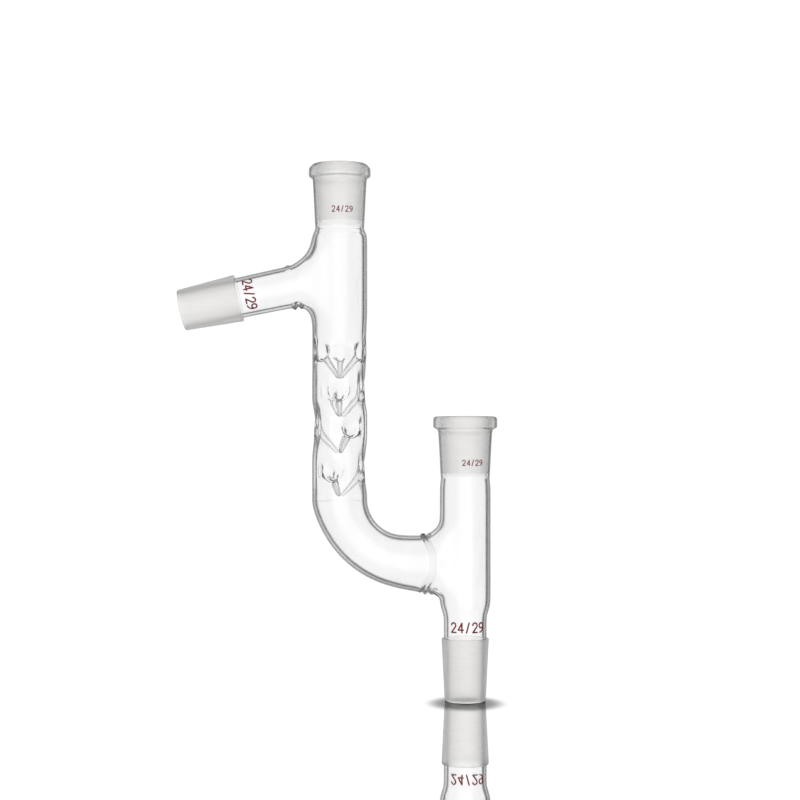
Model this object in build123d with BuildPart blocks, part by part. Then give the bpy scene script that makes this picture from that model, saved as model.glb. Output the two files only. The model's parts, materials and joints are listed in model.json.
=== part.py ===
from build123d import *
from math import atan2, cos, degrees, hypot, radians, sin, sqrt
import os

# Swan-neck distilling head with a Vigreux column and 24/29 ground joints.
# Borosilicate glass, all in millimetres, +Z up.  The origin is the centre of
# the lower end of the base cone, on the axis of the straight neck.  The neck
# stands on the Z axis, the Vigreux column is parallel to it on the -X side and
# the side arm slopes down further out on the -X side.

os.makedirs("parts", exist_ok=True)

# ---- ground joints, 24/29: 24.0 mm large end, 1 in 10 taper, 29 mm long ----
joint_large_r = 12.0
joint_length = 29.0
joint_taper = 0.05
joint_small_r = joint_large_r - joint_taper * joint_length

# ---- tube walls ----
tube_wall = 1.6
arm_wall = 1.5
cone_end_wall = 1.8

# ---- straight neck ----
cone_tip_length = 2.0
cone_crown = 1.0
side_tip_length = 0.7
side_crown = 0.3
cone_end_chamfer = 0.6
shank_r = 10.95
shank_length = 11.0
shoulder_height = 8.0
neck_r = 13.0
neck_top_z = 113.5
neck_top_taper = 5.0
socket_foot_r = 12.5

# ---- sockets ----
socket_length = 31.5
socket_neck_r = 13.8
column_socket_length = 31.9
neck_rim_r = 16.4
neck_rim_height = 6.0
column_rim_r = 15.8
column_rim_height = 4.2
column_rim_chamfer = 2.0
neck_rim_slope = 1.6
column_rim_slope = 1.2
socket_taper_z = 3.0
rim_round = 0.35

# ---- column ----
column_x = -64.0
column_r = 14.1
column_foot_z = 102.0
column_top_z = 241.3
column_shoulder = 7.5

# ---- bend ----
bend_centre_x = -32.0
bend_r = column_x * -1.0 + bend_centre_x
bend_inner_r = bend_r - column_r
bend_waist = 2.7
bend_pull = 0.1
boss_r = 14.5
boss_z = 69.8

# ---- saddle-shaped weld between the bend and the neck ----
weld_saddle_r = 24.0
weld_saddle_x = -39.5
weld_saddle_z = 68.8
weld_width = 2.2
weld_bead = 0.5

# ---- boss flare on the neck ----
boss_flare_r = 9.0
boss_foot_flare = 3.2

# ---- side arm ----
arm_drop = 12.0
arm_z = 216.3
arm_root_r = 10.7
arm_cone_r = 10.3
arm_weld_s = 24.7
arm_weld_width = 1.8
arm_weld_bead = 0.4
arm_cone_s = 52.5
arm_flare_r = 20.0
arm_foot_r = 5.0

# ---- Vigreux points ----
tier_tips_z = (166.8, 146.7, 128.1, 105.9)
tier_turns = (
    (90.0, 225.0, 330.0),
    (0.0, 120.0, 270.0),
    (75.0, 180.0, 300.0),
    (0.0, 120.0, 255.0),
)
point_drop = 12.3
point_tip_radial = 2.2
point_mouth_r = 4.7
point_tip_r = 1.1
point_wall = 0.9
point_lip_step = 0.15
point_profile = ((0.0, 1.0), (0.12, 0.85), (0.24, 0.48), (0.42, 0.23), (0.70, 0.06), (1.0, 0.0))

# ---- enamel size marks ----
enamel = 0.1
mark_stroke = 0.14
socket_mark_height = 3.2
socket_mark_pitch = 2.4
socket_mark_rise = 8.0
shank_mark_height = 5.5
shank_mark_pitch = 3.75
shank_mark_rise = 6.3
arm_mark_height = 5.4
arm_mark_pitch = 3.5
arm_mark_s = 46.2


def ring(points):
    """Revolve a closed (radius, height) outline about the Z axis."""
    with BuildPart() as turned:
        with BuildSketch(Plane.XZ):
            with BuildLine():
                Polyline(*points, close=True)
            make_face()
        revolve(axis=Axis.Z)
    return turned.part


# ---------------------------------------------------------------- base cone
base_cone_length = cone_tip_length + joint_length + cone_crown
side_cone_length = side_tip_length + joint_length + side_crown
shank_bore_r = shank_r - tube_wall


def cone_body(bore_top_r, tip_length, crown, chamfer_top):
    """Ground 24/29 cone, small end at z = 0, with its through bore."""
    tip_r = joint_small_r - joint_taper * tip_length
    bore_foot_r = joint_small_r - cone_end_wall
    length = tip_length + joint_length + crown
    outline = (
        (bore_foot_r, 0),
        (tip_r - cone_end_chamfer, 0),
        (tip_r, cone_end_chamfer),
        (joint_small_r, tip_length),
        (joint_large_r, tip_length + joint_length),
        (joint_large_r - chamfer_top, length),
        (bore_top_r, length),
    )
    return ring(outline)


with BuildPart() as base_cone:
    add(cone_body(shank_bore_r, cone_tip_length, cone_crown, cone_end_chamfer))
base_cone.part.label = "base_cone"

# --------------------------------------------------------------- base shank
shank_z = base_cone_length
shoulder_z = shank_z + shank_length

with BuildPart() as base_shank:
    with BuildSketch(Plane.XY.offset(shank_z)):
        Circle(shank_r)
        Circle(shank_bore_r, mode=Mode.SUBTRACT)
    extrude(amount=shank_length)
base_shank.part.label = "base_shank"


# ------------------------------------------------ straight neck with its boss
def neck_solid(inset):
    """Neck from the shoulder to the socket, shrunk all round by inset."""
    z_neck = shoulder_z + shoulder_height
    z_taper = neck_top_z - neck_top_taper
    with BuildPart() as body:
        with BuildSketch(Plane.XZ):
            with BuildLine():
                Line((0, shoulder_z), (shank_r - inset, shoulder_z))
                Spline(
                    (shank_r - inset, shoulder_z),
                    (neck_r - inset, z_neck),
                    tangents=((0, 1), (0, 1)),
                )
                Line((neck_r - inset, z_neck), (neck_r - inset, z_taper))
                Spline(
                    (neck_r - inset, z_taper),
                    (socket_foot_r - inset, neck_top_z),
                    tangents=((0, 1), (0, 1)),
                )
                Line((socket_foot_r - inset, neck_top_z), (0, neck_top_z))
                Line((0, neck_top_z), (0, shoulder_z))
            make_face()
        revolve(axis=Axis.Z)
    return body.part


def boss_solid(inset):
    """Flared boss from the weld plane into the neck, shrunk by inset."""
    reach = neck_r + boss_flare_r
    flare_z = boss_z + boss_r + boss_flare_r
    steepest = boss_flare_r - 1.1
    stations = (25.0, 22.5, 20.2, 18.0, 16.0, 14.1, 11.5, 8.0, 4.0)
    with BuildPart() as body:
        for s in stations:
            run = min(max(reach - s, 0.0), steepest)
            beyond = max(reach - steepest - s, 0.0)
            rise = sqrt((boss_flare_r + inset) ** 2 - run**2)
            top = flare_z - rise + beyond * 0.25
            foot = boss_z - boss_r + inset - boss_foot_flare * (run / steepest) ** 2
            narrowing = (run + beyond * 0.3) / reach
            side = boss_r - inset - narrowing * (boss_r - neck_r + 1.6)
            half = (top - foot) / 2.0
            plane = Plane((-s, 0, foot + half), x_dir=(0, 1, 0), z_dir=(1, 0, 0))
            with BuildSketch(plane):
                Ellipse(side, half)
        loft()
    return body.part


def saddle(radius):
    """Cylinder across the branch whose side is the saddle of the weld."""
    with BuildPart() as drum:
        with BuildSketch(Plane.XZ.offset(-column_r * 2)):
            with Locations((weld_saddle_x, weld_saddle_z)):
                Circle(radius)
        extrude(amount=column_r * 4)
    return drum.part


saddle_inner_r = weld_saddle_r - weld_width / 2
saddle_outer_r = weld_saddle_r + weld_width / 2

with BuildPart() as neck_tube:
    add(neck_solid(0.0))
    add(boss_solid(0.0))
    add(neck_solid(tube_wall), mode=Mode.SUBTRACT)
    add(boss_solid(tube_wall), mode=Mode.SUBTRACT)
    add(saddle(saddle_outer_r), mode=Mode.SUBTRACT)
neck_tube.part.label = "neck_tube"

# ---------------------------------------------------------------- bend weld
with BuildPart() as bend_weld:
    with BuildSketch(Plane.YZ.offset(bend_centre_x + 2.0)):
        with Locations((0, boss_z)):
            Circle(boss_r + weld_bead)
            Circle(boss_r - tube_wall - weld_bead / 2, mode=Mode.SUBTRACT)
    extrude(amount=-bend_centre_x - neck_r)
    add(saddle(saddle_outer_r), mode=Mode.INTERSECT)
    add(saddle(saddle_inner_r), mode=Mode.SUBTRACT)
bend_weld.part.label = "bend_weld"


# -------------------------------------------------------------- swept bend
def bend_solid(inset):
    """Swept bend from the foot of the column round to the weld."""
    with BuildPart() as body:
        with BuildSketch(Plane.XY.offset(column_foot_z + 8.0)):
            with Locations((column_x, 0)):
                Circle(column_r - inset)
        for angle in (0.0, 15.0, 30.0, 45.0, 60.0, 75.0, 90.0):
            c = cos(radians(angle))
            s = sin(radians(angle))
            half = column_r - bend_waist * c * s - 0.3 * s
            centre_r = bend_inner_r + half - bend_pull * s
            centre = (bend_centre_x - centre_r * c, 0, column_foot_z - centre_r * s)
            with BuildSketch(Plane(centre, x_dir=(-c, 0, -s), z_dir=(s, 0, -c))):
                Ellipse(half - inset, column_r - inset + 0.01 * angle / 90.0)
        for x in (bend_centre_x + 7.0, bend_centre_x + 13.0, -neck_r):
            with BuildSketch(Plane((x, 0, boss_z), x_dir=(0, 0, -1), z_dir=(1, 0, 0))):
                Circle(boss_r - inset)
        loft()
    return body.part


with BuildPart() as weld_trim:
    with BuildSketch(Plane.XZ.offset(-column_r * 2)):
        with Locations((weld_saddle_x, weld_saddle_z)):
            Rectangle(60.0, 60.0, align=(Align.MIN, Align.CENTER))
            Circle(saddle_inner_r, mode=Mode.SUBTRACT)
    extrude(amount=column_r * 4)

with BuildPart() as swept_bend:
    add(bend_solid(0.0))
    add(bend_solid(tube_wall), mode=Mode.SUBTRACT)
    add(weld_trim.part, mode=Mode.SUBTRACT)
    split(bisect_by=Plane.XY.offset(column_foot_z), keep=Keep.BOTTOM)
swept_bend.part.label = "swept_bend"


# -------------------------------------------------------------- neck socket
def socket_body(length, rim_r, rim_h, slope, top_chamfer):
    """Ground 24/29 socket standing on z = 0, mouth up."""
    foot_bore_r = socket_foot_r - tube_wall
    outline = (
        (foot_bore_r, 0),
        (socket_foot_r, 0),
        (socket_foot_r + 0.2, socket_taper_z),
        (socket_neck_r, length - rim_h - slope),
        (rim_r, length - rim_h),
        (rim_r, length - top_chamfer),
        (rim_r - top_chamfer * 0.7, length),
        (joint_large_r, length),
        (joint_small_r, length - joint_length),
    )
    return ring(outline)


with BuildPart() as neck_socket:
    with Locations((0, 0, neck_top_z)):
        add(socket_body(socket_length, neck_rim_r, neck_rim_height, neck_rim_slope, 0.8))
    rim_edges = (
        neck_socket.edges()
        .filter_by(GeomType.CIRCLE)
        .filter_by(lambda e: e.radius > neck_rim_r - 0.9 and e.center().Z > neck_top_z)
    )
    fillet(rim_edges, rim_round)
neck_socket.part.label = "neck_socket"


# ---------------------------------------------------- arm coordinate helpers
arm_c = cos(radians(arm_drop))
arm_s = sin(radians(arm_drop))


def arm_plane(s, t=0.0):
    """Plane across the side arm, s along its axis and t above the axis."""
    x = column_x - s * arm_c - t * arm_s
    z = arm_z - s * arm_s + t * arm_c
    return Plane((x, 0, z), x_dir=(-arm_s, 0, arm_c), z_dir=(-arm_c, 0, -arm_s))


# ----------------------------------------------------------- Vigreux column
def column_solid(inset):
    """Column from the bend to the socket, shrunk all round by inset."""
    with BuildPart() as body:
        with BuildSketch(Plane.XZ):
            with BuildLine():
                Line((0, column_foot_z), (column_r - inset, column_foot_z))
                Line(
                    (column_r - inset, column_foot_z),
                    (column_r - inset, column_top_z - column_shoulder),
                )
                Spline(
                    (column_r - inset, column_top_z - column_shoulder),
                    (socket_foot_r - inset, column_top_z),
                    tangents=((0, 1), (-0.3, 1)),
                )
                Line((socket_foot_r - inset, column_top_z), (0, column_top_z))
                Line((0, column_top_z), (0, column_foot_z))
            make_face()
        revolve(axis=Axis.Z)
    return body.part


def arm_boss_solid(inset):
    """Swan-shaped boss that leads from the column into the side arm."""
    top_start = 28.4
    top_centre = arm_root_r + arm_flare_r
    foot_start = 22.9
    past_weld = 1.0 if inset > 0.0 else 0.0
    widths = (
        (arm_weld_s - arm_weld_width / 2 + past_weld, 0.0),
        (21.5, 0.05),
        (18.5, 0.1),
        (15.5, 0.2),
        (12.8, 0.4),
        (10.6, 0.8),
        (9.2, 1.2),
        (6.0, 1.4),
        (3.0, 1.2),
    )
    with BuildPart() as body:
        for s, swell in widths:
            run = min(max(top_start - s, 0.0), arm_flare_r - 0.75)
            top = top_centre - sqrt((arm_flare_r + inset) ** 2 - run**2)
            run_foot = min(max(foot_start - s, 0.0), arm_foot_r * 0.9)
            foot_centre = -arm_root_r - arm_foot_r
            foot = foot_centre + sqrt((arm_foot_r + inset) ** 2 - run_foot**2)
            half = (top - foot) / 2.0
            with BuildSketch(arm_plane(s, foot + half)):
                Ellipse(half, arm_root_r + swell - inset)
        loft()
    return body.part


def tier_points(tier, build_one):
    """Place one pattern round the column at each turn of the given tier."""
    placed = []
    for turn in tier_turns[tier]:
        spot = Location((column_x, 0, tier_tips_z[tier])) * Location((0, 0, 0), (0, 0, turn))
        placed.append(spot * build_one)
    return placed


point_run = column_r - point_tip_radial
point_length = hypot(point_run, point_drop)


point_seat = Plane(
    (column_r, 0, point_drop),
    x_dir=(0, 1, 0),
    z_dir=(-point_run / point_length, 0, -point_drop / point_length),
)


def trumpet(inset, overshoot):
    """Trumpet-shaped solid of one point, shrunk all round by inset."""
    mouth = point_mouth_r - point_lip_step - inset
    tip = point_tip_r - inset
    with BuildPart() as body:
        with BuildSketch(Plane.XZ):
            with BuildLine():
                Line((0, -overshoot), (mouth, -overshoot))
                previous = (mouth, -overshoot)
                for along, out in point_profile:
                    here = (tip + (mouth - tip) * out, point_length * along)
                    Line(previous, here)
                    previous = here
                CenterArc((0, point_length), tip, 0, 90)
                Line((0, point_length + tip), (0, -overshoot))
            make_face()
        revolve(axis=Axis.Z)
    return point_seat.location * body.part


def mouth_plug():
    """Cylinder round the axis of a point that marks out its hole."""
    with BuildPart() as plug:
        Cylinder(point_mouth_r, 14.0)
    return point_seat.location * plug.part


with BuildPart() as wall_band:
    with BuildSketch(Plane.XY.offset(-5.0)):
        Circle(column_r)
        Circle(column_r - tube_wall, mode=Mode.SUBTRACT)
    extrude(amount=40.0)

with BuildPart() as inside_band:
    with BuildSketch(Plane.XY.offset(-5.0)):
        Circle(column_r)
    extrude(amount=40.0)

with BuildPart() as hole_plug:
    add(mouth_plug())
    add(wall_band.part, mode=Mode.INTERSECT)

with BuildPart() as one_point:
    add(trumpet(0.0, 3.6))
    add(inside_band.part, mode=Mode.INTERSECT)
    add(hole_plug.part)
    add(trumpet(point_wall, 9.0), mode=Mode.SUBTRACT)

with BuildPart() as vigreux_column:
    with Locations((column_x, 0, 0)):
        add(column_solid(0.0))
    add(arm_boss_solid(0.0))
    with Locations((column_x, 0, 0)):
        add(column_solid(tube_wall), mode=Mode.SUBTRACT)
    add(arm_boss_solid(arm_wall), mode=Mode.SUBTRACT)
    for tier in range(len(tier_tips_z)):
        for plug in tier_points(tier, mouth_plug()):
            add(plug, mode=Mode.SUBTRACT)
vigreux_column.part.label = "vigreux_column"


# ----------------------------------------------------------- Vigreux points
def points_tier(tier):
    """Three pulled-in points of one tier."""
    with BuildPart() as tier_part:
        for point in tier_points(tier, one_point.part):
            add(point)
    return tier_part.part


with BuildPart() as vigreux_points_tier_1:
    add(points_tier(0))
vigreux_points_tier_1.part.label = "vigreux_points_tier_1"

with BuildPart() as vigreux_points_tier_2:
    add(points_tier(1))
vigreux_points_tier_2.part.label = "vigreux_points_tier_2"

with BuildPart() as vigreux_points_tier_3:
    add(points_tier(2))
vigreux_points_tier_3.part.label = "vigreux_points_tier_3"

with BuildPart() as vigreux_points_tier_4:
    add(points_tier(3))
vigreux_points_tier_4.part.label = "vigreux_points_tier_4"

# ------------------------------------------------------------ column socket
with BuildPart() as column_socket:
    with Locations((column_x, 0, column_top_z)):
        add(
            socket_body(
                column_socket_length,
                column_rim_r,
                column_rim_height + column_rim_chamfer,
                column_rim_slope,
                column_rim_chamfer,
            )
        )
column_socket.part.label = "column_socket"

# ----------------------------------------------------------- side arm weld
weld_plane = arm_plane(arm_weld_s - arm_weld_width / 2)

with BuildPart() as side_arm_weld:
    with BuildSketch(weld_plane):
        Circle(arm_root_r + arm_weld_bead)
        Circle(arm_root_r - arm_wall - arm_weld_bead / 2, mode=Mode.SUBTRACT)
    extrude(amount=arm_weld_width)
side_arm_weld.part.label = "side_arm_weld"


# ---------------------------------------------------------------- side arm
def arm_solid(inset):
    """Slightly tapered tube between the weld and the side cone."""
    with BuildPart() as body:
        with BuildSketch(arm_plane(arm_weld_s + arm_weld_width / 2)):
            Circle(arm_root_r - inset)
        with BuildSketch(arm_plane(arm_cone_s)):
            Circle(arm_cone_r - inset)
        loft()
    return body.part


with BuildPart() as side_arm:
    add(arm_solid(0.0))
    add(arm_solid(arm_wall), mode=Mode.SUBTRACT)
side_arm.part.label = "side_arm"

# --------------------------------------------------------------- side cone
cone_foot = arm_plane(arm_cone_s + side_cone_length)
cone_seat = Plane(cone_foot.origin, x_dir=cone_foot.x_dir, z_dir=-cone_foot.z_dir)

with BuildPart() as side_cone:
    with Locations(cone_seat):
        add(cone_body(arm_cone_r - arm_wall, side_tip_length, side_crown, side_crown))
side_cone.part.label = "side_cone"


# -------------------------------------------------------------- size marks
def straight_stroke(start, end):
    """Round-ended straight stroke of a figure one unit high."""
    run = end[0] - start[0]
    rise = end[1] - start[1]
    middle = ((start[0] + end[0]) / 2, (start[1] + end[1]) / 2)
    with Locations(middle):
        SlotCenterToCenter(hypot(run, rise), mark_stroke, rotation=degrees(atan2(rise, run)))


def curved_stroke(start, through, end):
    """Round-ended arc stroke of a figure one unit high."""
    SlotArc(ThreePointArc(start, through, end), mark_stroke)


def figure_two():
    """Figure 2 in a cell one unit high."""
    with BuildSketch() as figure:
        curved_stroke((0.05, 0.74), (0.27, 0.94), (0.48, 0.70))
        straight_stroke((0.46, 0.60), (0.06, 0.07))
        straight_stroke((0.48, 0.70), (0.46, 0.60))
        straight_stroke((0.06, 0.07), (0.50, 0.07))
    return figure.sketch


def figure_four():
    """Figure 4 in a cell one unit high."""
    with BuildSketch() as figure:
        straight_stroke((0.40, 0.07), (0.40, 0.93))
        straight_stroke((0.40, 0.93), (0.06, 0.30))
        straight_stroke((0.06, 0.30), (0.52, 0.30))
    return figure.sketch


def figure_slash():
    """Slash in a cell one unit high."""
    with BuildSketch() as figure:
        straight_stroke((0.14, 0.05), (0.38, 0.95))
    return figure.sketch


def figure_nine():
    """Figure 9 in a cell one unit high."""
    with BuildSketch() as figure:
        with Locations((0.27, 0.70)):
            Circle(0.23 + mark_stroke / 2)
            Circle(0.23 - mark_stroke / 2, mode=Mode.SUBTRACT)
        curved_stroke((0.50, 0.68), (0.43, 0.29), (0.12, 0.08))
    return figure.sketch


figures = (figure_two(), figure_four(), figure_slash(), figure_two(), figure_nine())


def size_mark(tube, radius, height, pitch, facing, shell):
    """Figures 24/29 round a tube, cut to a thin enamel layer on its wall.

    tube is the plane across the tube at the middle of the figures, with the
    tube axis as its Z axis; shell is the thin layer that follows the wall.
    """
    middle = (len(figures) - 1) / 2.0
    with BuildPart() as mark:
        for i, figure in enumerate(figures):
            turn = radians(facing) + (i - middle) * pitch / radius
            out = (cos(turn), sin(turn), 0)
            right = (-sin(turn), cos(turn), 0)
            cell = tube.location * Plane((0, 0, 0), x_dir=right, z_dir=out).location
            sized = scale(figure, by=height, mode=Mode.PRIVATE)
            with BuildSketch(Plane(cell).offset(radius * 0.8)):
                add(Location((-0.27 * height, -0.5 * height)) * sized)
            extrude(amount=radius * 0.4)
        add(shell, mode=Mode.INTERSECT)
    return mark.part


def socket_shell(x, foot_z, length):
    """Enamel-thin layer on the tapered outside of a socket."""
    low = foot_z + socket_taper_z
    high = foot_z + length
    outline = (
        (socket_foot_r + 0.2, low),
        (socket_foot_r + 0.2 + enamel, low),
        (socket_neck_r + enamel, high),
        (socket_neck_r, high),
    )
    return Location((x, 0, 0)) * ring(outline)


column_taper_top = column_socket_length - column_rim_height - column_rim_chamfer - column_rim_slope
neck_taper_top = socket_length - neck_rim_height - neck_rim_slope

with BuildPart() as column_socket_size_mark:
    shell = socket_shell(column_x, column_top_z, column_taper_top)
    tube = Plane((column_x, 0, column_top_z + socket_mark_rise))
    add(size_mark(tube, socket_neck_r, socket_mark_height, socket_mark_pitch, -82.0, shell))
column_socket_size_mark.part.label = "column_socket_size_mark"

with BuildPart() as neck_socket_size_mark:
    shell = socket_shell(0.0, neck_top_z, neck_taper_top)
    tube = Plane((0, 0, neck_top_z + socket_mark_rise))
    add(size_mark(tube, socket_neck_r, socket_mark_height, socket_mark_pitch, -75.0, shell))
neck_socket_size_mark.part.label = "neck_socket_size_mark"

with BuildPart() as base_shank_size_mark:
    with BuildPart(mode=Mode.PRIVATE) as layer:
        with BuildSketch(Plane.XY.offset(shank_z)):
            Circle(shank_r + enamel)
            Circle(shank_r, mode=Mode.SUBTRACT)
        extrude(amount=shank_length)
    tube = Plane((0, 0, shank_z + shank_mark_rise))
    add(size_mark(tube, shank_r, shank_mark_height, shank_mark_pitch, -85.0, layer.part))
base_shank_size_mark.part.label = "base_shank_size_mark"

with BuildPart() as side_arm_size_mark:
    foot = arm_plane(arm_mark_s)
    tube = Plane(foot.origin, x_dir=-foot.x_dir, z_dir=-foot.z_dir)
    layer = arm_solid(-enamel) - arm_solid(0.0)
    add(size_mark(tube, arm_root_r, arm_mark_height, arm_mark_pitch, -90.0, layer))
side_arm_size_mark.part.label = "side_arm_size_mark"

# ------------------------------------------------------------------ export
pieces = (
    base_cone,
    base_shank,
    neck_tube,
    neck_socket,
    bend_weld,
    swept_bend,
    vigreux_column,
    vigreux_points_tier_1,
    vigreux_points_tier_2,
    vigreux_points_tier_3,
    vigreux_points_tier_4,
    column_socket,
    side_arm_weld,
    side_arm,
    side_cone,
    column_socket_size_mark,
    side_arm_size_mark,
    neck_socket_size_mark,
    base_shank_size_mark,
)

for piece in pieces:
    export_step(piece.part, "parts/" + piece.part.label + ".step")
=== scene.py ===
import bpy, bmesh, json, math
from mathutils import Matrix, Vector

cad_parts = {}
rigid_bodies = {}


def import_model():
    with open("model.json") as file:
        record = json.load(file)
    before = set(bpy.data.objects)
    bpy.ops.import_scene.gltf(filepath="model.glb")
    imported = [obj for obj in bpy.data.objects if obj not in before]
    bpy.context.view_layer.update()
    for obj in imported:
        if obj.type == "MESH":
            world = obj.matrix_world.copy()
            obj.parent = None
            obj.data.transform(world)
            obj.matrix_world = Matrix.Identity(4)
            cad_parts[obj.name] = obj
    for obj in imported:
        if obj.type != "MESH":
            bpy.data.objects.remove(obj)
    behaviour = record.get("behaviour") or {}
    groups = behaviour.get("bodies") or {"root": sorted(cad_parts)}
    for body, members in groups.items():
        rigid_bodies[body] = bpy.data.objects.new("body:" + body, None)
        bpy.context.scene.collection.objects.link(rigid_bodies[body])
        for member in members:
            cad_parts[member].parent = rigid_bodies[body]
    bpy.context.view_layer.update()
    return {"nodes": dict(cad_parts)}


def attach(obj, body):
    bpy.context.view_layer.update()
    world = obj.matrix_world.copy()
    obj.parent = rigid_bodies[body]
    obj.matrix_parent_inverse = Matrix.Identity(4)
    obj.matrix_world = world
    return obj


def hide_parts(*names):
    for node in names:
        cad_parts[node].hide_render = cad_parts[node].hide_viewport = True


for stray in list(bpy.data.objects):
    bpy.data.objects.remove(stray)
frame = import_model()

# ---- 1. glass column -------------------------------------------------------
# One continuous borosilicate tube.  Four tiers of three points are drawn in
# from its wall with a pick, and the side arm is blown out near its top and
# drawn on as far as the ground cone.  Clear fire-polished glass, 1.6 mm wall.
MM = 0.001
WALL = 1.6


def glass_material(name, rough, tint_and_painted_edge_shade, grain_scale, grain_low):
    """Borosilicate glass.

    The tint table pairs how edge-on a wall is seen with a grey. For clear
    glass this is painted edge shade: the colour darkens where a wall is seen
    edge-on, standing in for the dark edges that the surroundings give real
    glass. For ground glass it is one even tint. grain_scale and grain_low
    set the fine streaks left by drawing or grinding.
    """
    mat = bpy.data.materials.new(name)
    mat.use_nodes = True
    tree = mat.node_tree
    shader = tree.nodes["Principled BSDF"]
    shader.inputs["Transmission Weight"].default_value = 1.0
    shader.inputs["IOR"].default_value = 1.474
    shader.inputs["Roughness"].default_value = rough
    # painted edge shade: the base colour darkens where a wall is seen edge-on
    rim = tree.nodes.new("ShaderNodeLayerWeight")
    rim.inputs["Blend"].default_value = 0.5
    ramp = tree.nodes.new("ShaderNodeValToRGB")
    stops = ramp.color_ramp.elements
    for index, (facing, colour) in enumerate(tint_and_painted_edge_shade):
        stop = stops[index] if index < 2 else stops.new(facing)
        stop.position = facing
        stop.color = (*colour, 1.0)
    tree.links.new(rim.outputs["Facing"], ramp.inputs["Fac"])
    where = tree.nodes.new("ShaderNodeTexCoord")
    stretch = tree.nodes.new("ShaderNodeMapping")
    stretch.inputs["Scale"].default_value = grain_scale
    grain = tree.nodes.new("ShaderNodeTexNoise")
    grain.inputs["Scale"].default_value = 1.0
    grain.inputs["Detail"].default_value = 3.0
    fade = tree.nodes.new("ShaderNodeMapRange")
    fade.inputs["From Min"].default_value = 0.3
    fade.inputs["From Max"].default_value = 0.6
    fade.inputs["To Min"].default_value = grain_low
    tree.links.new(where.outputs["Object"], stretch.inputs["Vector"])
    tree.links.new(stretch.outputs["Vector"], grain.inputs["Vector"])
    tree.links.new(grain.outputs["Fac"], fade.inputs["Value"])
    blend = tree.nodes.new("ShaderNodeMix")
    blend.data_type = "RGBA"
    blend.blend_type = "MULTIPLY"
    blend.inputs["Factor"].default_value = 1.0
    tree.links.new(ramp.outputs["Color"], blend.inputs["A"])
    tree.links.new(fade.outputs["Result"], blend.inputs["B"])
    tree.links.new(blend.outputs["Result"], shader.inputs["Base Color"])
    return mat


CLEAR = (0.99, 0.99, 0.99)
# painted edge shade of the clear glass: white face-on, near black where a wall is seen edge-on
PAINTED_EDGE_SHADE = (
    (0.0, CLEAR), (1.0, (0.0, 0.0, 0.0)), (0.53, CLEAR), (0.6, (0.36, 0.37, 0.37)),
    (0.66, (0.1, 0.105, 0.105)), (0.74, (0.01, 0.01, 0.01)),
)
clear_glass = glass_material("clear_glass", 0.0, PAINTED_EDGE_SHADE, (90.0, 90.0, 12.0), 0.97)
# painted edge shade on the inside wall: a faint grey where it is seen edge-on
INNER_PAINTED_EDGE_SHADE = ((0.0, CLEAR), (1.0, (0.9, 0.9, 0.9)))
inner_glass = glass_material("clear_glass_inside", 0.0, INNER_PAINTED_EDGE_SHADE, (90.0, 90.0, 12.0), 0.98)

seam = bpy.data.materials.new("fused_seam")
seam.use_nodes = True
seam.node_tree.nodes.clear()
seam_out = seam.node_tree.nodes.new("ShaderNodeOutputMaterial")
seam_clear = seam.node_tree.nodes.new("ShaderNodeBsdfTransparent")
seam.node_tree.links.new(seam_clear.outputs["BSDF"], seam_out.inputs["Surface"])


def cage_factor(count):
    """How far a subdivided ring of count points shrinks from its cage."""
    return (2.0 + math.cos(2.0 * math.pi / count)) / 3.0


def start_tube(name, axis_x, z, radius, count):
    """Open ring in edit mode, ready to be extruded upwards."""
    bpy.ops.object.select_all(action="DESELECT")
    bpy.ops.mesh.primitive_circle_add(
        vertices=count,
        radius=radius * MM / cage_factor(count),
        location=(axis_x * MM, 0.0, z * MM),
    )
    tube = bpy.context.object
    tube.name = name
    bpy.ops.object.transform_apply(location=True, rotation=True, scale=True)
    bpy.ops.object.mode_set(mode="EDIT")
    bpy.ops.mesh.select_all(action="SELECT")
    return tube


def grow_tube(axis_x, z_from, r_from, z_to, r_to):
    """Extrude the selected ring straight up to a new height and radius."""
    bpy.ops.mesh.extrude_region_move(
        TRANSFORM_OT_translate={"value": (0.0, 0.0, (z_to - z_from) * MM)}
    )
    if abs(r_to - r_from) > 1e-6:
        grow = r_to / r_from
        bpy.ops.transform.resize(
            value=(grow, grow, 1.0), center_override=(axis_x * MM, 0.0, z_to * MM)
        )


def select_patch(tube, inside):
    """Select the faces whose middle satisfies the test, in millimetres."""
    bpy.ops.mesh.select_mode(type="FACE")
    bpy.ops.mesh.select_all(action="DESELECT")
    mesh = bmesh.from_edit_mesh(tube.data)
    for face in mesh.faces:
        middle = face.calc_center_median() / MM
        face.select = bool(inside(middle))
    mesh.select_flush_mode()
    bmesh.update_edit_mesh(tube.data)


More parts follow.
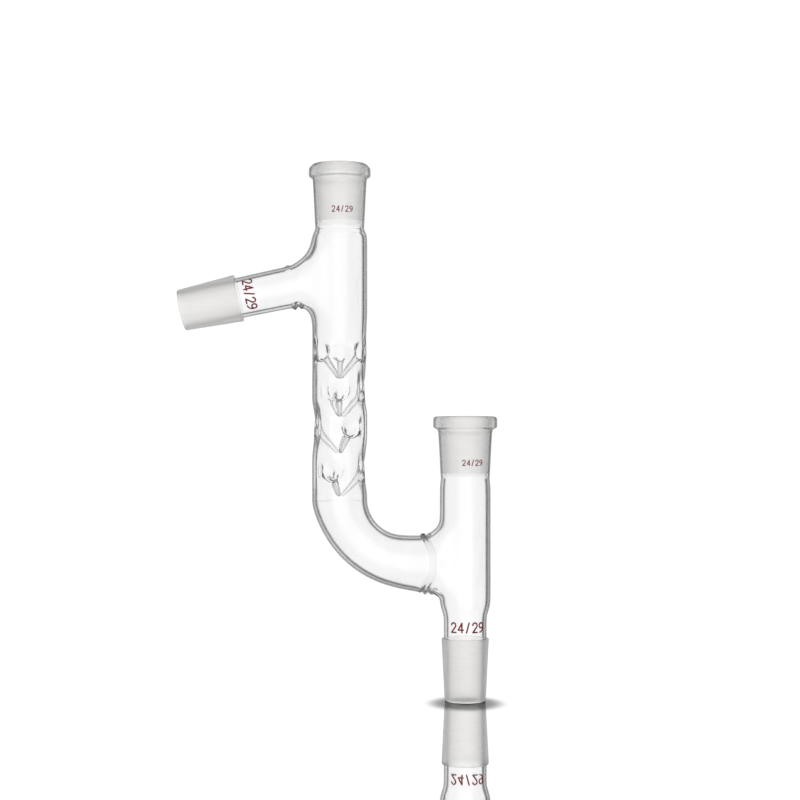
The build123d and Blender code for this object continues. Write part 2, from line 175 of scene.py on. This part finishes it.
def push_patch(tube, ring):
    """Extrude the selected patch on to a ring: its rim is spread evenly round
    the ellipse and its inside is gathered on a flat disc of half the size."""
    centre, across, up, half_across, half_up, lean = ring
    bpy.ops.mesh.extrude_region_move(TRANSFORM_OT_translate={"value": (0, 0, 0)})
    mesh = bmesh.from_edit_mesh(tube.data)
    patch = [v for v in mesh.verts if v.select]
    turns = {}
    for v in patch:
        off = v.co / MM - centre
        turns[v] = math.atan2(off.dot(up) / half_up, off.dot(across) / half_across)
    rim = [v for v in patch if any(not f.select for f in v.link_faces)]
    rim.sort(key=lambda v: turns[v])
    start = min(range(len(rim)), key=lambda k: abs(turns[rim[k]]))
    sizes = {}
    for v in patch:
        off = v.co / MM - centre
        sizes[v] = 0.5 * min(1.0, math.hypot(off.dot(up) / half_up, off.dot(across) / half_across))
    for k, v in enumerate(rim):
        turns[v] = 2.0 * math.pi * (k - start) / len(rim)
        sizes[v] = 1.0
    widen = 1.0 / cage_factor(len(rim))
    for v in patch:
        size = sizes[v] * widen
        spot = centre + across * (half_across * size * math.cos(turns[v]))
        spot = spot + up * (half_up * size * math.sin(turns[v]))
        if lean:
            spot = spot + lean(turns[v]) * size / widen
        v.co = spot * MM
    bmesh.update_edit_mesh(tube.data)


# share of the wall that is left where a point has been drawn out thin
DRAWN_SHARE = 0.42


def finish_glass(tube, lumps):
    """Smooth the cage, raise the weld lumps and give the skin its wall."""
    bpy.ops.mesh.select_mode(type="VERT")
    bpy.ops.mesh.select_all(action="SELECT")
    bpy.ops.mesh.remove_doubles(threshold=1e-6)
    bpy.ops.mesh.normals_make_consistent(inside=False)
    bpy.ops.object.mode_set(mode="OBJECT")
    smooth = tube.modifiers.new("smooth", "SUBSURF")
    smooth.levels = 2
    smooth.render_levels = 2
    bpy.ops.object.modifier_apply(modifier="smooth")
    for spot, lift, reach in lumps:
        for v in tube.data.vertices:
            away = (v.co / MM - Vector(spot)).length / reach
            if away < 1.0:
                v.co += Vector(lift) * MM * (1.0 - away * away) ** 2
    shell = tube.modifiers.new("wall", "SOLIDIFY")
    shell.thickness = WALL * MM
    shell.offset = -1.0
    shell.use_even_offset = True
    shell.material_offset_rim = 1
    shell.material_offset = 2
    if tube.vertex_groups:
        shell.vertex_group = tube.vertex_groups[0].name
        shell.invert_vertex_group = True
        shell.thickness_vertex_group = DRAWN_SHARE
    bpy.ops.object.modifier_apply(modifier="wall")
    bpy.ops.object.shade_smooth_by_angle(angle=math.radians(40))


SIDE = Vector((0.0, 1.0, 0.0))
UP = Vector((0.0, 0.0, 1.0))
COLUMN_X = -64.0
COLUMN_R = 14.1
COLUMN_FOOT = 102.0
COLUMN_TOP = 241.3
ARM_ROOT_FOOT = 194.5
ARM_ROOT_TOP = 236.8
# height of the tips of a tier, and the turn of each of its points in degrees
TIERS = (
    (105.9, (0.0, 120.0, 255.0)),
    (128.1, (75.0, 180.0, 300.0)),
    (146.7, (0.0, 120.0, 270.0)),
    (166.8, (90.0, 225.0, 330.0)),
)
# a point's mouth lies RISE above its tip and is 2 MOUTH high
RISE = 12.3
MOUTH = 7.0
MOUTH_HALF_WIDTH = 6.5
# faces less far than this from the axis lie round the side and are left alone
FRONT_DEPTH = 8.0
rows = [(COLUMN_FOOT, COLUMN_R), (106.0, COLUMN_R)]
for tip_z, _ in TIERS:
    rows += [(tip_z + RISE + MOUTH * d, COLUMN_R) for d in (-1.0, -0.5, 0.0, 0.5, 1.0)]
rows += [(ARM_ROOT_FOOT, COLUMN_R), (204.0, COLUMN_R), (215.0, COLUMN_R), (227.0, COLUMN_R)]
rows += [(ARM_ROOT_TOP, COLUMN_R), (238.0, 13.6), (239.6, 12.9), (240.9, 12.5), (COLUMN_TOP, 12.45)]
column = start_tube("glass_column", COLUMN_X, COLUMN_FOOT, COLUMN_R, 24)
here_z, here_r = rows[0]
for z, r in rows[1:]:
    grow_tube(COLUMN_X, here_z, here_r, z, r)
    here_z, here_r = z, r

# Each point: the sixteen faces round its mouth are drawn in and down to a tip.
# depth along the point, radius of the hollow, tilt of the ring in degrees
STEPS = (
    (1.6, 5.4, 2.0), (2.7, 4.2, 12.0), (4.0, 2.7, 28.0), (5.8, 1.5, 42.0),
    (11.0, 0.8, 46.0), (18.2, 0.4, 46.0),
)
DENT = 1.0
POINT_SLOPE = math.radians(46.0)
# depth by which a point has been drawn out to its thinnest
THIN_BY = 4.0
drawn = column.vertex_groups.new(name="drawn_points")
for tip_z, turns in TIERS:
    for turn in turns:
        angle = math.radians(turn)
        outward = Vector((math.cos(angle), math.sin(angle), 0.0))
        sideways = Vector((-math.sin(angle), math.cos(angle), 0.0))
        mouth = Vector((COLUMN_X, 0.0, tip_z + RISE)) + outward * COLUMN_R
        inward = -outward * math.cos(POINT_SLOPE) - UP * math.sin(POINT_SLOPE)

        def near_mouth(middle, mouth=mouth, outward=outward, sideways=sideways):
            off = middle - mouth
            flat = middle - Vector((COLUMN_X, 0.0, middle.z))
            beside = abs(off.dot(sideways)) < MOUTH_HALF_WIDTH
            return abs(off.z) < MOUTH and beside and flat.dot(outward) > FRONT_DEPTH

        select_patch(column, near_mouth)
        bpy.ops.transform.translate(value=-outward * DENT * MM)
        for depth, radius, tilt in STEPS:
            lean = math.radians(tilt)
            up = UP * math.cos(lean) - outward * math.sin(lean)
            push_patch(column, (mouth + inward * depth, sideways, up, radius, radius, None))
            mesh = bmesh.from_edit_mesh(column.data)
            layer = mesh.verts.layers.deform.verify()
            for v in mesh.verts:
                if v.select:
                    v[layer][drawn.index] = min(1.0, depth / THIN_BY)
            bmesh.update_edit_mesh(column.data)

# Side arm: the faces on the left are blown out, flared more above than below,
# then drawn on as a straight tube 12 degrees below the horizontal.
ARM_DROP = 12.0
DROP = math.radians(ARM_DROP)
ARM = Vector((-math.cos(DROP), 0.0, -math.sin(DROP)))
ARM_UP = Vector((-math.sin(DROP), 0.0, math.cos(DROP)))
ARM_FOOT = Vector((COLUMN_X, 0.0, 216.3))


def arm_root(middle):
    return ARM_ROOT_FOOT < middle.z < ARM_ROOT_TOP and middle.x < COLUMN_X - FRONT_DEPTH


select_patch(column, arm_root)
# top and foot of each ring in the XZ plane and its half width; the fifth ring
# is the small bead of the flame weld
ARM_ROOT_RINGS = (
    ((-79.6, 229.8), (-80.1, 198.7), 11.9),
    ((-83.3, 225.6), (-83.0, 200.2), 11.2),
    ((-87.0, 223.0), (-84.8, 200.8), 10.85),
    ((-89.2, 221.9), (-85.4, 200.9), 10.75),
    ((-90.6, 221.8), (-86.3, 200.1), 11.05),
    ((-92.0, 221.1), (-87.7, 200.3), 10.75),
)
for (top_x, top_z), (foot_x, foot_z), half in ARM_ROOT_RINGS:
    top = Vector((top_x, 0.0, top_z))
    foot = Vector((foot_x, 0.0, foot_z))
    rise = top - foot
    up = rise.normalized()
    push_patch(column, ((top + foot) / 2.0, SIDE, up, half, rise.length / 2.0, None))
# distance along the arm from the column's axis, and outside radius
ARM_RINGS = ((30.0, 10.6), (40.0, 10.45), (51.9, 10.3), (52.5, 10.3))
for s, radius in ARM_RINGS:
    push_patch(column, (ARM_FOOT + ARM * s, SIDE, ARM_UP, radius, radius, None))
bpy.ops.mesh.delete(type="FACE")
# lumps left where the weld was worked: place, lift and reach
ARM_LUMPS = (
    ((-86.6, 0.0, 200.1), (0.0, 0.0, -0.9), 2.0),
    ((-83.6, -1.5, 200.4), (0.0, 0.0, -0.7), 1.6),
    ((-91.0, 0.0, 221.6), (0.0, 0.0, 0.5), 2.2),
    ((-85.8, -5.5, 202.3), (0.3, -0.7, 0.0), 2.2),
)
finish_glass(column, ARM_LUMPS)
for glass in (clear_glass, seam, inner_glass):
    column.data.materials.append(glass)
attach(column, "root")
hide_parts("vigreux_column", "side_arm_weld", "side_arm")
for tier in (1, 2, 3, 4):
    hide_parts("vigreux_points_tier_%d" % tier)

# ---- 2. glass neck and bend -------------------------------------------------
# The straight neck, drawn down to the shank, with a boss blown out of its left
# side.  The swept bend is fused on to the boss at a saddle-shaped weld, which
# stays a little thicker than the tubes.  The same clear glass as the column.
NECK_R = 13.0
NECK_TOP = 113.5
BOSS_FOOT = 51.5
BOSS_TOP = 91.5
NECK_ROWS = (
    (32.0, 10.95), (34.0, 10.95), (41.0, 10.95), (43.5, 11.1), (46.0, 11.95), (48.6, 12.75),
    (BOSS_FOOT, NECK_R), (60.0, NECK_R), (70.0, NECK_R), (80.0, NECK_R), (BOSS_TOP, NECK_R),
    (98.0, NECK_R), (105.0, NECK_R), (109.0, 12.95), (111.3, 12.75), (113.0, 12.5), (NECK_TOP, 12.48),
)
neck = start_tube("glass_neck_and_bend", 0.0, NECK_ROWS[0][0], NECK_ROWS[0][1], 12)
here_z, here_r = NECK_ROWS[0]
for z, r in NECK_ROWS[1:]:
    grow_tube(0.0, here_z, here_r, z, r)
    here_z, here_r = z, r


def boss_root(middle):
    return BOSS_FOOT < middle.z < BOSS_TOP and middle.x < -5.0


select_patch(neck, boss_root)


def saddle(top_lift, foot_lift):
    """Offset that turns a flat ring into the saddle of the weld."""

    def lean(turn):
        lift = top_lift if math.sin(turn) > 0.0 else foot_lift
        return Vector((-lift * math.sin(turn) ** 2, 0.0, 0.0))

    return lean


# distance from the neck axis at the sides, top, foot, half width, and how far
# the top and the foot lie further out; two narrow ridges are left by the weld
BOSS_RINGS = (
    (12.2, 88.3, 53.0, 13.6, 2.4, 1.7),
    (13.9, 85.0, 55.2, 14.2, 5.0, 3.6),
    (14.6, 84.5, 55.3, 14.25, 5.9, 5.6),
    (15.0, 85.1, 54.7, 14.85, 6.0, 6.0),
    (15.4, 84.45, 55.3, 14.3, 6.0, 6.3),
    (16.5, 84.4, 55.4, 14.25, 5.6, 6.6),
    (16.9, 84.9, 54.9, 14.7, 5.6, 6.7),
    (17.3, 84.4, 55.4, 14.25, 5.5, 6.7),
    (21.5, 84.35, 55.6, 14.25, 2.5, 3.5),
    (26.5, 84.35, 56.0, 14.25, 0.0, 0.0),
)
for s, top, foot, half, top_lift, foot_lift in BOSS_RINGS:
    centre = Vector((-s, 0.0, (top + foot) / 2.0))
    push_patch(neck, (centre, SIDE, UP, half, (top - foot) / 2.0, saddle(top_lift, foot_lift)))

BEND_X = -32.0
BEND_Z = COLUMN_FOOT
# angle round the bend, inner and outer wall from its centre, half width
BEND_RINGS = (
    (90.0, 17.55, 45.2, 14.25), (75.0, 17.5, 43.8, 14.2), (60.0, 17.5, 43.0, 14.15),
    (45.0, 17.55, 42.9, COLUMN_R), (30.0, 17.65, 43.4, COLUMN_R), (15.0, 17.8, 44.7, COLUMN_R),
    (4.0, 17.9, 46.0, COLUMN_R), (0.0, 17.9, 46.1, COLUMN_R),
)
for angle, inner, outer, half in BEND_RINGS:
    out = Vector((-math.cos(math.radians(angle)), 0.0, -math.sin(math.radians(angle))))
    centre = Vector((BEND_X, 0.0, BEND_Z)) + out * ((inner + outer) / 2.0)
    push_patch(neck, (centre, SIDE, -out, half, (outer - inner) / 2.0, None))
bpy.ops.mesh.delete(type="FACE")
WELD_LUMPS = (
    ((-21.6, 0.0, 84.6), (0.0, 0.0, 0.9), 2.0),
    ((-18.4, -1.0, 84.6), (0.0, 0.0, 0.8), 1.7),
    ((-15.4, 0.0, 86.4), (0.0, 0.0, 0.6), 1.6),
    ((-20.4, 0.0, 55.2), (0.0, 0.0, -0.8), 2.0),
    ((-17.4, -1.0, 55.0), (0.0, 0.0, -0.8), 1.8),
    ((-14.6, -4.5, 54.6), (-0.5, -0.7, 0.0), 2.2),
    ((-15.2, -8.0, 58.6), (-0.2, -0.9, 0.0), 2.4),
)
finish_glass(neck, WELD_LUMPS)
for glass in (clear_glass, seam, inner_glass):
    neck.data.materials.append(glass)
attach(neck, "root")
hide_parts("neck_tube", "bend_weld", "swept_bend", "base_shank")

# ---- 3. ground sockets -------------------------------------------------------
# Moulded and ground 24/29 sockets fused on to the tops of the neck and the
# column.  The bore is ground to a matt taper; outside and rim are fire polished.


def lathe(name, rows, count=96):
    """Closed body turned from a closed outline of (radius, height) rows."""
    bpy.ops.object.select_all(action="DESELECT")
    first_r, first_z = rows[0]
    bpy.ops.mesh.primitive_circle_add(vertices=count, radius=first_r * MM, location=(0, 0, first_z * MM))
    body = bpy.context.object
    body.name = name
    bpy.ops.object.transform_apply(location=True, rotation=True, scale=True)
    bpy.ops.object.mode_set(mode="EDIT")
    bpy.ops.mesh.select_all(action="SELECT")
    here_r, here_z = first_r, first_z
    for r, z in rows[1:] + rows[:1]:
        bpy.ops.mesh.extrude_region_move(TRANSFORM_OT_translate={"value": (0, 0, (z - here_z) * MM)})
        if r != here_r:
            bpy.ops.transform.resize(value=(r / here_r, r / here_r, 1.0), center_override=(0, 0, z * MM))
        here_r, here_z = r, z
    bpy.ops.mesh.select_all(action="SELECT")
    bpy.ops.mesh.remove_doubles(threshold=1e-6)
    bpy.ops.mesh.normals_make_consistent(inside=False)
    bpy.ops.object.mode_set(mode="OBJECT")
    return body


def place(body, matrix):
    """Move a turned body from the Z axis to its place."""
    body.matrix_world = matrix
    bpy.ops.object.select_all(action="DESELECT")
    body.select_set(True)
    bpy.context.view_layer.objects.active = body
    bpy.ops.object.transform_apply(location=True, rotation=True, scale=True)
    bpy.ops.object.shade_smooth_by_angle(angle=math.radians(35))


def paint(body, rule):
    """Give every face the material slot that the rule picks from its middle."""
    for face in body.data.polygons:
        middle = face.center / MM
        radius = math.hypot(middle.x, middle.y)
        face.material_index = rule(radius, middle.z)


GROUND_TINTS = ((0.0, (0.93, 0.92, 0.905)), (1.0, (0.93, 0.92, 0.905)))
ground_glass = glass_material("ground_glass", 0.42, GROUND_TINTS, (150.0, 150.0, 900.0), 0.93)


# a 24/29 joint: radius of the large end, how much it narrows, ground length
JOINT_R = 12.0
NARROWS = 1.45
GROUND_LENGTH = 29.0
CHAMFER = 0.25
SOCKET_BORE_R = 10.9


def socket(name, length, rows_outside, node, axis_x, foot_z):
    """Ground socket, foot at z = 0, moved up to foot_z on the tube at axis_x."""
    taper = GROUND_LENGTH - CHAMFER
    rows = rows_outside + [(JOINT_R + CHAMFER, length), (JOINT_R, length - CHAMFER)]
    rows += [(JOINT_R - NARROWS * i / 6.0, length - CHAMFER - taper * i / 6.0) for i in range(1, 7)]
    rows += [(10.62, length - 29.6), (SOCKET_BORE_R, 0.6), (SOCKET_BORE_R, 0.0)]
    body = lathe(name, rows)
    for glass in (clear_glass, seam, ground_glass, inner_glass):
        body.data.materials.append(glass)

    def rule(radius, z):
        if z < 0.01:
            return 1
        if radius < 12.05 and length - 29.05 < z < length - 0.2:
            return 2
        return 3 if radius < JOINT_R and z < 3.0 else 0

    paint(body, rule)
    place(body, Matrix.Translation((axis_x * MM, 0.0, foot_z * MM)))
    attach(body, "root")
    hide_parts(node)


socket(
    "ground_neck_socket",
    31.5,
    [
        (12.5, 0.0), (12.55, 1.0), (12.7, 3.0), (13.0, 9.0), (13.3, 15.0), (13.6, 20.0), (13.8, 23.0),
        (14.05, 24.2), (14.6, 24.9), (15.6, 25.4), (16.15, 25.75), (16.35, 26.3), (16.4, 27.2),
        (16.4, 29.6), (16.3, 30.5), (16.0, 31.1), (15.4, 31.45), (14.8, 31.5),
    ],
    "neck_socket",
    0.0,
    NECK_TOP,
)
socket(
    "ground_column_socket",
    31.9,
    [
        (12.5, 0.0), (12.55, 1.0), (12.7, 3.0), (13.0, 9.0), (13.3, 15.0), (13.6, 20.5), (13.8, 24.0),
        (14.1, 24.9), (14.9, 25.4), (15.5, 25.75), (15.75, 26.2), (15.8, 26.8), (15.8, 29.6),
        (15.6, 30.1), (15.1, 30.7), (14.6, 31.3), (14.2, 31.75), (13.9, 31.9),
    ],
    "column_socket",
    COLUMN_X,
    COLUMN_TOP,
)

# ---- 4. ground cones ---------------------------------------------------------
# Solid-drawn 24/29 cones, matt ground outside, smooth inside, small end fire
# polished; one under the neck and one on the end of the side arm.
SEAM_WALL = 1.55


def cone(name, bore_top, tip_length, crown, node, matrix):
    """Ground cone, small end at z = 0: tip_length and crown lie past the taper."""
    top = tip_length + GROUND_LENGTH + crown
    rows = [(8.95, 0.0), (9.9, 0.0), (10.25, 0.15), (10.42, 0.45), (10.47, tip_length)]
    rows += [(10.55 + NARROWS * i / 6.0, tip_length + GROUND_LENGTH * i / 6.0) for i in range(0, 7)]
    rows += [(11.97, top - 0.22), (11.8, top), (bore_top + SEAM_WALL, top), (bore_top, top)]
    rows += [(bore_top - 0.1, 28.0), (9.0, 12.0), (8.8, 2.0), (8.75, 0.5), (8.8, 0.15)]
    body = lathe(name, rows)
    for glass in (clear_glass, seam, ground_glass, inner_glass):
        body.data.materials.append(glass)

    def rule(radius, z):
        if z > top - 0.01 and radius < bore_top + 1.5:
            return 1
        if radius > 9.95 and 0.4 < z < top - 0.1:
            return 2
        return 3 if radius < 9.6 else 0

    paint(body, rule)
    place(body, matrix)
    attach(body, "root")
    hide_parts(node)


cone("ground_base_cone", 9.35, 2.0, 1.0, "base_cone", Matrix.Identity(4))
SIDE_TIP = 82.5
tip = (ARM_FOOT + ARM * SIDE_TIP) * MM
turn = Matrix.Rotation(math.radians(90.0 - ARM_DROP), 4, "Y")
cone("ground_side_cone", 8.8, 0.7, 0.3, "side_cone", Matrix.Translation(tip) @ turn)

# ---- stage -----------------------------------------------------------------
# A polished white floor with a painted contact shadow, a dark patch where the
# base cone meets it, and a white backdrop with darker sides, which draw the edges of the glass.
bpy.ops.object.select_all(action="DESELECT")
bpy.ops.mesh.primitive_plane_add(size=8.0, location=(0.0, 0.0, 0.0))
floor = bpy.context.object
floor.name = "studio_floor"
floor_mat = bpy.data.materials.new("gloss_floor")
floor_mat.use_nodes = True
floor_tree = floor_mat.node_tree
floor_shader = floor_tree.nodes["Principled BSDF"]
floor_shader.inputs["Metallic"].default_value = 1.0
floor_shader.inputs["Roughness"].default_value = 0.02
# painted contact shadow: the floor colour and mirror tint darken towards the base cone
floor_where = floor_tree.nodes.new("ShaderNodeTexCoord")
painted_shadow_distance = floor_tree.nodes.new("ShaderNodeVectorMath")
painted_shadow_distance.operation = "LENGTH"
painted_contact_shadow = floor_tree.nodes.new("ShaderNodeValToRGB")
painted_contact_shadow.color_ramp.interpolation = "EASE"
painted_shadow_stops = painted_contact_shadow.color_ramp.elements
painted_shadow_stops[0].position = 0.0
painted_shadow_stops[0].color = (0.2, 0.2, 0.2, 1.0)
painted_shadow_stops[1].position = 1.0
painted_shadow_stops[1].color = (1.0, 1.0, 1.0, 1.0)
painted_shadow_edge_stop = painted_shadow_stops.new(0.5)
painted_shadow_edge_stop.color = (0.45, 0.45, 0.45, 1.0)
painted_shadow_mapping = floor_tree.nodes.new("ShaderNodeMapping")
painted_shadow_mapping.inputs["Scale"].default_value = (44.0, 34.0, 1.0)
painted_shadow_mapping.inputs["Location"].default_value = (0.0, 0.3, 0.0)
floor_tree.links.new(floor_where.outputs["Object"], painted_shadow_mapping.inputs["Vector"])
floor_tree.links.new(painted_shadow_mapping.outputs["Vector"], painted_shadow_distance.inputs[0])
floor_tree.links.new(painted_shadow_distance.outputs["Value"], painted_contact_shadow.inputs["Fac"])
floor_tree.links.new(painted_contact_shadow.outputs["Color"], floor_shader.inputs["Base Color"])
floor_tree.links.new(painted_contact_shadow.outputs["Color"], floor_shader.inputs["Specular Tint"])
floor.data.materials.append(floor_mat)

world = bpy.data.worlds.new("studio")
bpy.context.scene.world = world
world.use_nodes = True
sky = world.node_tree
glow = sky.nodes["Background"]
glow.inputs["Strength"].default_value = 1.0
aim = sky.nodes.new("ShaderNodeTexCoord")
part_xyz = sky.nodes.new("ShaderNodeSeparateXYZ")
sky.links.new(aim.outputs["Generated"], part_xyz.inputs["Vector"])


def sky_ramp(source, low, high):
    """Soft step from 0 to 1 as the direction component rises."""
    step = sky.nodes.new("ShaderNodeMapRange")
    step.interpolation_type = "SMOOTHSTEP"
    step.inputs["From Min"].default_value = low
    step.inputs["From Max"].default_value = high
    sky.links.new(source, step.inputs["Value"])
    return step.outputs["Result"]


def sky_mix(factor, first, second):
    """Blend of two greys or blends."""
    mix = sky.nodes.new("ShaderNodeMix")
    mix.data_type = "RGBA"
    sky.links.new(factor, mix.inputs["Factor"])
    for value, socket_in in ((first, mix.inputs["A"]), (second, mix.inputs["B"])):
        if isinstance(value, float):
            socket_in.default_value = (value, value, value, 1.0)
        else:
            sky.links.new(value, socket_in)
    return mix.outputs["Result"]


def sky_reach(axis):
    """Size of one component of the direction, whichever way it points."""
    size = sky.nodes.new("ShaderNodeMath")
    size.operation = "ABSOLUTE"
    sky.links.new(part_xyz.outputs[axis], size.inputs[0])
    return size.outputs["Value"]


side_glow = sky_mix(sky_ramp(part_xyz.outputs["X"], -0.2, 0.2), 0.48, 0.26)
screen = sky_mix(sky_ramp(sky_reach("X"), 0.36, 0.80), 1.04, side_glow)
backdrop = sky_mix(sky_ramp(sky_reach("Z"), 0.36, 0.80), screen, 0.42)
sky.links.new(backdrop, glow.inputs["Color"])

# ---- 5. size marks ----------------------------------------------------------
# The 24/29 figures, red enamel printed on the glass and fired on.  They keep
# their own shape; the pieces above stand in for every other node.
red = bpy.data.materials.new("size_mark")
red.use_nodes = True
red.node_tree.nodes["Principled BSDF"].inputs["Base Color"].default_value = (0.30, 0.015, 0.03, 1.0)
for name, node in frame["nodes"].items():
    node.data.materials.clear()
    if name.endswith("size_mark"):
        node.data.materials.append(red)
    elif name in ("base_cone", "side_cone", "neck_socket", "column_socket"):
        node.data.materials.append(ground_glass)
    else:
        node.data.materials.append(clear_glass)

# ---- camera ----------------------------------------------------------------
# Level, straight in front, at about half the height of the whole piece.
camera_data = bpy.data.cameras.new("camera")
camera = bpy.data.objects.new("camera", camera_data)
bpy.context.scene.collection.objects.link(camera)
camera.location = (-0.03325, -0.867, 0.133)
camera.rotation_euler = (math.radians(90.0), 0.0, 0.0)
camera_data.lens = 76.5
camera_data.sensor_width = 36.0
camera_data.shift_y = 0.05
bpy.context.scene.camera = camera

bpy.context.scene.view_settings.view_transform = "Standard"
bpy.context.scene.cycles.max_bounces = 32
bpy.context.scene.cycles.transmission_bounces = 32
bpy.context.scene.cycles.transparent_max_bounces = 32
bpy.context.scene.cycles.glossy_bounces = 16
